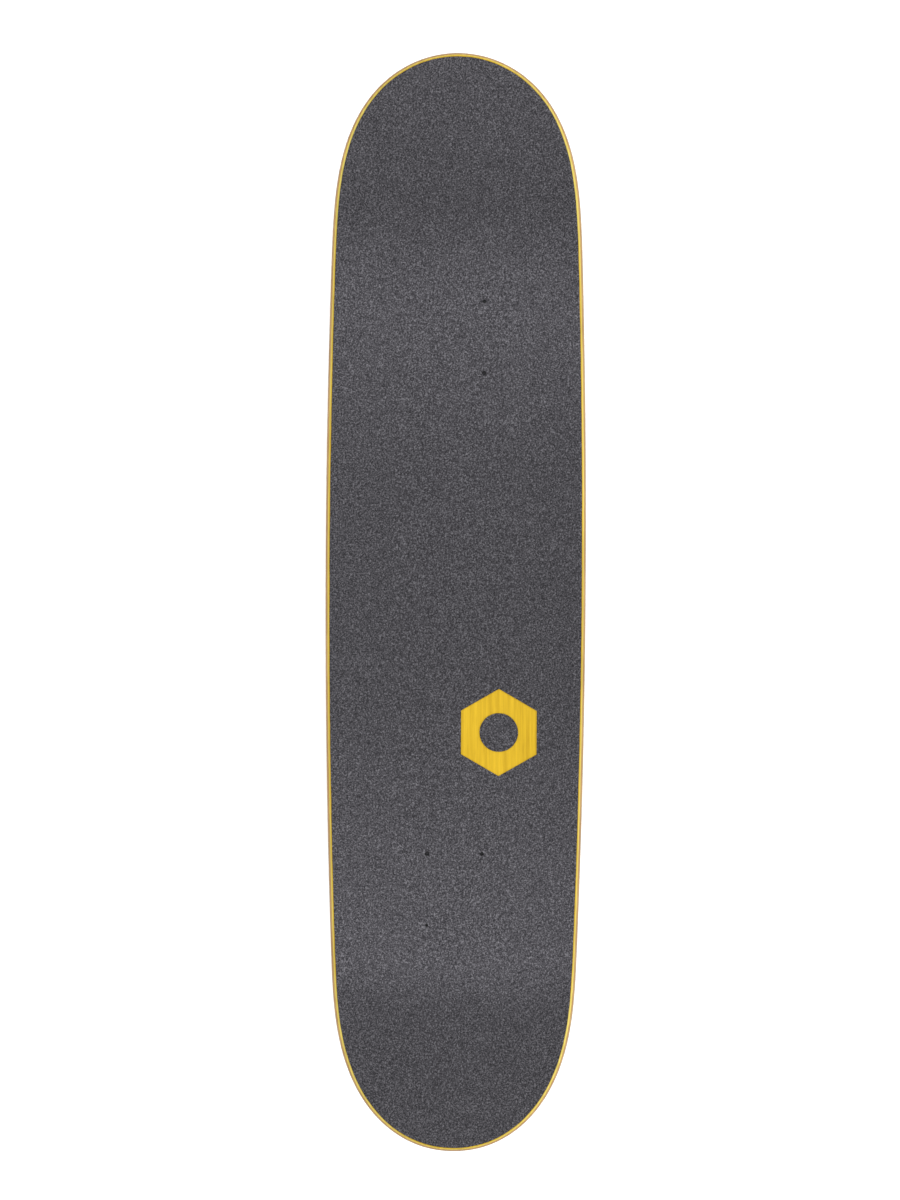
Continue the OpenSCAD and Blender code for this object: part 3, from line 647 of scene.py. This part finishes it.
def bolt_drill():
    """Clearance holes and countersinks for all the truck bolts."""
    low, high = UNDER_Z - CUT_PAST, TOP_Z + CUT_PAST
    drill = [(0, low), (BOLT_HOLE_R, low), (BOLT_HOLE_R, TOP_Z - BOLT_HEAD_H)]
    drill += [(COUNTERSINK_R, TOP_Z), (COUNTERSINK_R, high), (0, high)]
    placings = [Matrix.Translation((x, y, 0)) for x, y, _ in bolt_places()]
    return joined("drill", [lathe("drill", drill, 32, placing) for placing in placings])


def make_ply(index, station_x):
    """One veneer; a fine groove marks the glue line where its edge meets the next one's. The two veneers
    whose faces show have a finer mesh."""
    outside = index in (1, PLY_COUNT)
    columns, edge_steps = (41, 8) if outside else (13, 4)
    sheet = Sheet(station_x, columns)
    upper, lower = (index - 1) * PLY, index * PLY
    top_groove = 0.0 if index == 1 else GLUE_GROOVE
    bottom_groove = 0.0 if index == PLY_COUNT else GLUE_GROOVE
    loops = [sheet.surface(upper, edge_inset(upper) + top_groove)]
    first, last = upper + max(top_groove, CORNER), lower - max(bottom_groove, CORNER)
    loops += edge_rings(sheet, first, last, edge_steps)
    loops.append(sheet.surface(lower, edge_inset(lower) + bottom_groove))
    for a, b in zip(loops, loops[1:]):
        sheet.wall(a, b)
    ply = sheet.finish(f"deck_ply_{index}", 50)
    cut(ply, [bolt_drill()], 50)
    return ply


def window_cutter(low, high):
    """The hexagon cut out of the grip tape, less the island that stays in it."""
    hexagon = circle_points(MARK_X, MARK_Y, MARK_FLATS / 2 / math.cos(math.radians(30)), 6)
    window = prism("window_tool", hexagon, low, high)
    island = prism("island_tool", circle_points(MARK_X, MARK_Y, MARK_ISLAND / 2, 96), low - 1, high + 1)
    cut(window, [island])
    return window


# Radius of the hole pierced over each bolt, by its signs: end (1 at the nose), row (1 outside) and side (1
# on the left). The holes that aren't named are barely pierced.
PIERCED = {
    (1, 1, -1): 1.5,
    (1, -1, -1): 1.7,
    (-1, -1, 1): 1.75,
    (-1, -1, -1): 1.5,
    (-1, 1, 1): 1.1,
}
PIERCED_FAINT = 0.6
PIERCED_WOBBLE = 0.3


def pierced_outline(x, y, r, seed):
    """A small hole pierced by hand."""
    points = []
    for across, up in circle_points(0, 0, 1, 20):
        reach = r * (1 + PIERCED_WOBBLE * noise.noise(Vector((across, up, seed))))
        points.append((x + reach * across, y + reach * up))
    return points


# How unevenly the grip tape is cut off along the edge, and how quickly that changes round the board
TRIM_WOBBLE = 0.07
TRIM_WAVES = (40, 16)


def make_grip(station_x):
    """Grip tape laid over the top face and cut off along the round edge."""
    sheet = Sheet(station_x, 61)
    cut_angle = math.acos((EDGE_R - SHOULDER_DEPTH) / EDGE_R)

    def angle_at(u):
        turn = 2 * math.pi * u
        place = Vector((TRIM_WAVES[0] * math.cos(turn), TRIM_WAVES[1] * math.sin(turn), 0.5))
        return cut_angle * (1 + TRIM_WOBBLE * noise.noise(place))

    def trim_ring(r, share):
        """A loop on the round of radius r, at a share of the angle where the tape is cut off."""
        return sheet.ring(
            lambda u: EDGE_R - r * math.cos(share * angle_at(u)),
            lambda u: EDGE_R - r * math.sin(share * angle_at(u)),
        )

    loops = [sheet.surface(-GRIP, edge_inset(0))]
    loops += [trim_ring(EDGE_R + GRIP, share) for share in (0.33, 0.66, 1.0)]
    loops += [trim_ring(EDGE_R, share) for share in (1.0, 0.5)]
    loops.append(sheet.surface(0, edge_inset(0)))
    for a, b in zip(loops, loops[1:]):
        sheet.wall(a, b)
    grip = sheet.finish("grip_tape_sheet", 40)
    low, high = TOP_Z - CUT_PAST, TOP_Z + CUT_OVER
    window = window_cutter(low, high)
    holes = []
    for x, y, signs in bolt_places():
        outline = pierced_outline(x, y, PIERCED.get(signs, PIERCED_FAINT), len(holes))
        holes.append(prism("hole_tool", outline, low, high))
    cut(grip, [window, joined("hole_tool", holes)], 40)
    return grip


def make_deck():
    """The seven veneers and the grip tape."""
    station_x = stations(36, 96)
    for index in range(1, PLY_COUNT + 1):
        ply = make_ply(index, station_x)
        slot = {1: "ply_yellow", 2: "ply_orange"}.get(index, "ply_maple")
        material = {3: "ply_cross", 5: "ply_cross", PLY_COUNT: "ply_bottom"}.get(index, slot)
        dress(ply, material, slot, "deck", f"ply_{index}")
    dress(make_grip(station_x), "grip", "grip", "deck", "grip_tape")


make_deck()


# ---------- trucks ----------

# Sizes of the kingpin, the axle, the bushings and their washers in millimetres, as in the CAD model; the
# threads are only in this script
SEAT_X, SEAT_DEPTH = 10.0, 14.0
KINGPIN_LEAN = math.radians(20)
KINGPIN_R = 4.76
KINGPIN_HEAD_R = 7.5
KINGPIN_HEAD, KINGPIN_SHANK, KINGPIN_END = -11.6, -6.6, 45.6
KINGPIN_THREAD = 14.0
AXLE_R = 3.97
AXLE_LENGTH = 190.5
AXLE_THREAD = 12.0
BOLT_THREAD = 12.0
PITCH, BOLT_PITCH = 1.05, 0.8
BUSHING_BORE_R = 4.96
BUSHING_R = 12.8
ROADSIDE_TOP_R = 9.9
WASHER_T = 1.5
BOARDSIDE_H = 14.5
RING_T = 7.0
ROADSIDE_H = 11.0
ROADSIDE_S = WASHER_T + BOARDSIDE_H + RING_T

# Each truck's name, the place of its bolts' middle and its turn about the vertical
TRUCKS = (("front", FRONT_X, math.pi), ("rear", REAR_X, 0.0))


def kingpin_frame(centre_x, turn):
    """Frame on the bushing seat, in millimetres, with +Z down along the kingpin."""
    truck = Matrix.Translation((centre_x, 0, UNDER_Z)) @ Matrix.Rotation(turn, 4, "Z")
    seat = Matrix.Translation((SEAT_X, 0, -SEAT_DEPTH))
    return truck @ seat @ Matrix.Rotation(math.pi - KINGPIN_LEAN, 4, "Y")


# Size of the voxels that a casting is remade from, and how far it is smoothed and thinned out
CAST_VOXEL = 0.9
CAST_PASSES = 7
CAST_KEPT_FACES = 0.4


def cast_piece(node, name):
    """A CAD node as a casting: the same shape with worn, rounded edges and filled inner corners."""
    obj = bpy.data.objects.new(name, nodes[node].data.copy())
    bpy.context.scene.collection.objects.link(obj)
    skin = obj.modifiers.new("skin", "REMESH")
    skin.mode = "VOXEL"
    skin.voxel_size = CAST_VOXEL * MM
    worn = obj.modifiers.new("worn", "SMOOTH")
    worn.factor = 0.5
    worn.iterations = CAST_PASSES
    light = obj.modifiers.new("light", "DECIMATE")
    light.ratio = CAST_KEPT_FACES
    apply_modifiers(obj)
    smooth(obj, 60)
    return obj


def bushing_profile(low_r, high_r, height):
    """Half section of a bushing with round shoulders, in close rings."""
    steps = 18
    shoulder = 1.1
    made = []
    for i in range(steps + 1):
        u = i / steps
        drawn_in = shoulder * abs(2 * u - 1) ** 10
        made.append((low_r + (high_r - low_r) * u - drawn_in, height * u))
    return made + [(BUSHING_BORE_R, height * (1 - i / steps)) for i in range(steps + 1)]


def threads(radius, low, high, pitch):
    """Half section of a thread, from low to high, as crests and roots."""
    count = round((high - low) / pitch)
    step = (high - low) / count
    root = radius - 0.55 * pitch
    made = []
    for i in range(count):
        made += [(radius, low + step * (i + 0.1)), (root, low + step * (i + 0.6))]
    return made


def make_bolts():
    """Countersunk truck bolts with hexagonal sockets and threaded ends."""
    bolts, sockets = [], []
    end_z = TOP_Z - BOLT_LENGTH
    thread_z = end_z + BOLT_THREAD
    profile = [(0, end_z), (BOLT_R - 0.5, end_z)] + threads(BOLT_R, end_z + 0.5, thread_z, BOLT_PITCH)
    profile += [(BOLT_R, thread_z), (BOLT_R, TOP_Z - BOLT_HEAD_H), (BOLT_HEAD_R - 0.1, TOP_Z - 0.15)]
    profile += [(BOLT_HEAD_R - 0.25, TOP_Z), (0, TOP_Z)]
    for x, y, _ in bolt_places():
        bolts.append(lathe("bolt", profile, 40, Matrix.Translation((x, y, 0))))
        hexagon = circle_points(x, y, SOCKET_R, 6, math.radians(15))
        sockets.append(prism("socket", hexagon, TOP_Z - SOCKET_DEPTH, TOP_Z + 1))
    made = joined("truck_bolts", bolts)
    cut(made, [joined("socket", sockets)])
    return made


def threaded_end(radius, start, end):
    """Half section of a rod's threaded, chamfered end."""
    return [(radius, start)] + threads(radius, start, end - 0.6, PITCH) + [(radius - 0.8, end), (0, end)]


def kingpin_profile():
    """Half section of the kingpin, from its head to its threaded end."""
    made = [(0, KINGPIN_HEAD), (KINGPIN_HEAD_R - 0.5, KINGPIN_HEAD), (KINGPIN_HEAD_R, KINGPIN_HEAD + 0.5)]
    made += [(KINGPIN_HEAD_R, KINGPIN_SHANK), (KINGPIN_R, KINGPIN_SHANK)]
    return made + threaded_end(KINGPIN_R, KINGPIN_END - KINGPIN_THREAD, KINGPIN_END)


def axle_profile():
    """Half section of the axle, threaded at both ends."""
    end = AXLE_LENGTH / 2
    half = threaded_end(AXLE_R, end - AXLE_THREAD, end)
    return [(r, -h) for r, h in reversed(half)] + half


def make_bushing(end, side, placing, profile, low, height, toward_hanger):
    """A bushing's urethane, turned round the kingpin, in place of its CAD node."""
    name = f"{end}_{side}_bushing"
    obj = lathe(f"{name}_urethane", profile, 72, placing @ Matrix.Translation((0, 0, low)), 50)
    obj.data.materials.append(MATERIALS["bushing"])
    margin = 0.1 * height
    ends = [placing @ Vector((0, 0, s)) * MM for s in (low + margin, low + height - margin)]
    start, stop = ends if toward_hanger else reversed(ends)
    tuple(start)
    tuple(stop)
    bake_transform(obj)
    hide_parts(name)


def make_truck(end, centre_x, turn):
    """One truck's kingpin, axle, castings and bushings."""
    hanger_body = f"{end}_truck_hanger"
    placing = kingpin_frame(centre_x, turn)
    kingpin = lathe(f"{end}_kingpin_bolt", kingpin_profile(), 64, placing)
    dress(kingpin, "steel", "steel", "deck", f"{end}_kingpin")
    low, high = (Vector(corner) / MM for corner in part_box(f"{end}_axle"))
    along = Matrix.Translation((low + high) / 2) @ Matrix.Rotation(math.pi / 2, 4, "X")
    axle = lathe(f"{end}_axle_rod", axle_profile(), 64, along)
    dress(axle, "steel", "steel", hanger_body, f"{end}_axle")
    baseplate = cast_piece(f"{end}_baseplate", f"{end}_baseplate_casting")
    dress(baseplate, "cast", "cast", "deck", f"{end}_baseplate")
    hanger = cast_piece(f"{end}_hanger", f"{end}_hanger_casting")
    dress(hanger, "cast", "cast", hanger_body, f"{end}_hanger")
    barrel = bushing_profile(BUSHING_R, BUSHING_R, BOARDSIDE_H)
    make_bushing(end, "boardside", placing, barrel, WASHER_T, BOARDSIDE_H, True)
    cone = bushing_profile(BUSHING_R, ROADSIDE_TOP_R, ROADSIDE_H)
    make_bushing(end, "roadside", placing, cone, ROADSIDE_S, ROADSIDE_H, False)


dress(make_bolts(), "black_steel", "black_steel", "deck", "mounting_bolts")
for truck in TRUCKS:
    make_truck(*truck)


# ---------- wheels ----------

# Sizes of a wheel in millimetres: its tread and shoulders, its dished faces and its two bearing seats
SHOULDER_R, HALF_TREAD = 4.5, 8.5
DISH_R, DISH_FLOOR_R, MOUTH_R, MOUTH_Y = 18.5, 14.2, 11.8, 12.6
BEARING_R, BEARING_MOUTH_Y, SEAT_Y, WEB_R = 11.0, 12.0, 5.0, 8.6


def wheel_profile(radius, half_width):
    """Closed section of a wheel with round shoulders, dished faces and two bearing seats; the third number
    of each point is the radius of its corner."""
    arc = [math.radians(q) for q in range(0, 73, 9)]
    inner = radius - SHOULDER_R
    side = [(inner + SHOULDER_R * math.cos(q), HALF_TREAD + SHOULDER_R * math.sin(q), 0) for q in arc]
    side += [(DISH_R, half_width, 1.6), (DISH_FLOOR_R, half_width, 0.9), (MOUTH_R, MOUTH_Y, 0.3)]
    side += [(BEARING_R, BEARING_MOUTH_Y, 0.3), (BEARING_R, SEAT_Y, 0.2), (WEB_R, SEAT_Y, 0.3)]
    return softened(side + [(x, -y, own) for x, y, own in reversed(side)])


def make_wheel(name):
    """One wheel's urethane, as large as its CAD node."""
    low, high = (Vector(corner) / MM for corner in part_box(name))
    centre = (low + high) / 2
    profile = wheel_profile((high.z - low.z) / 2, (high.y - low.y) / 2)
    placing = Matrix.Translation(centre) @ Matrix.Rotation(math.pi / 2, 4, "X")
    wheel = lathe(f"{name}_urethane", profile, 144, placing, 40)
    dress(wheel, "wheel", "wheel", f"{name}_body", name)


for end in ("front", "rear"):
    for side in ("left", "right"):
        make_wheel(f"{end}_{side}_wheel")


# ---------- the rest of the CAD model, with its own shapes ----------

NODE_MATERIALS = {entry["node"]: entry["material_slot"] for entry in frame["record"]["subparts"]}
CHAMFER = 0.2


def chamfer(obj):
    """Rounds off the sharp edges of a nut or a washer."""
    weld = obj.modifiers.new("weld", "WELD")
    weld.merge_threshold = 0.001 * MM
    edge = obj.modifiers.new("edge", "BEVEL")
    edge.width = CHAMFER * MM
    edge.segments = 2
    edge.limit_method = "ANGLE"
    edge.angle_limit = math.radians(30)
    edge.harden_normals = True


for name, obj in nodes.items():
    obj.data.materials.clear()
    obj.data.materials.append(MATERIALS[NODE_MATERIALS[name]])
    smooth(obj, 30)
    if name.endswith(("nut", "nuts", "washer")):
        chamfer(obj)


# ---------- stage, in metres ----------

FLOOR_HALF = 15.0
FLOOR_DROP = 0.0005
FLOOR_GLOW = 0.3
WORLD_GLOW = 0.45

# The camera looks straight down from its distance over the deck, a little off the middle and turned, and
# sees this height at the deck's top face
CAMERA_DISTANCE = 2.45
CAMERA_OFFSET = (0.0021, 0.0042)
CAMERA_TURN = math.radians(-89.73)
VIEW_HEIGHT = 0.90384
SENSOR_HEIGHT = 36.0

# Each light's name, place, target, size and power in watts
LIGHTS = (
    ("nose_light", (0.95, 0.0, 2.3), (0.1, 0.0, 0.0), (1.0, 1.6), 25),
    ("tail_light", (-0.95, 0.0, 2.3), (-0.1, 0.0, 0.0), (1.0, 1.6), 25),
    ("right_light", (0.0, -1.9, 1.7), (0.0, 0.0, 0.0), (1.6, 1.2), 23),
    ("left_light", (0.0, 1.9, 1.7), (0.0, 0.0, 0.0), (1.6, 1.2), 5),
)


def make_floor():
    """A pale floor that glows a little, just under the wheels."""
    bm = bmesh.new()
    bmesh.ops.create_grid(bm, x_segments=1, y_segments=1, size=FLOOR_HALF)
    floor = object_from(bm, "floor")
    floor.location.z = -FLOOR_DROP
    m = Material("floor_paint", 0.9)
    tone = m.noise((0.004, 0.004, 0.004), detail=2)
    m.color(m.ramp(tone, (0.3, (0.9, 0.9, 0.9)), (0.7, (0.92, 0.92, 0.92))))
    m.shader.inputs["Emission Color"].default_value = (1, 1, 1, 1)
    m.shader.inputs["Emission Strength"].default_value = FLOOR_GLOW
    m.shader.inputs["Specular IOR Level"].default_value = 0.1
    floor.data.materials.append(m.data)


def make_light(name, place, target, size, power):
    """A soft rectangular light that faces its target."""
    data = bpy.data.lights.new(name, "AREA")
    data.shape = "RECTANGLE"
    data.size, data.size_y = size
    data.energy = power
    light = bpy.data.objects.new(name, data)
    light.location = place
    light.rotation_euler = (Vector(target) - Vector(place)).to_track_quat("-Z", "Y").to_euler()
    bpy.context.scene.collection.objects.link(light)


def make_camera():
    """The camera over the deck, with the nose at the top of its view."""
    data = bpy.data.cameras.new("camera")
    data.sensor_fit = "VERTICAL"
    data.sensor_height = SENSOR_HEIGHT
    data.lens = SENSOR_HEIGHT * CAMERA_DISTANCE / VIEW_HEIGHT
    camera = bpy.data.objects.new("camera", data)
    camera.location = (*CAMERA_OFFSET, CAMERA_DISTANCE + TOP_Z * MM)
    camera.rotation_euler = (0, 0, CAMERA_TURN)
    bpy.context.scene.collection.objects.link(camera)
    bpy.context.scene.camera = camera


def make_world():
    """Even light from all round."""
    world = bpy.data.worlds.new("studio")
    world.use_nodes = True
    background = world.node_tree.nodes["Background"]
    background.inputs["Color"].default_value = (1, 1, 1, 1)
    background.inputs["Strength"].default_value = WORLD_GLOW
    bpy.context.scene.world = world


make_floor()
for light in LIGHTS:
    make_light(*light)
make_camera()
make_world()
bpy.context.scene.view_settings.view_transform = "Standard"
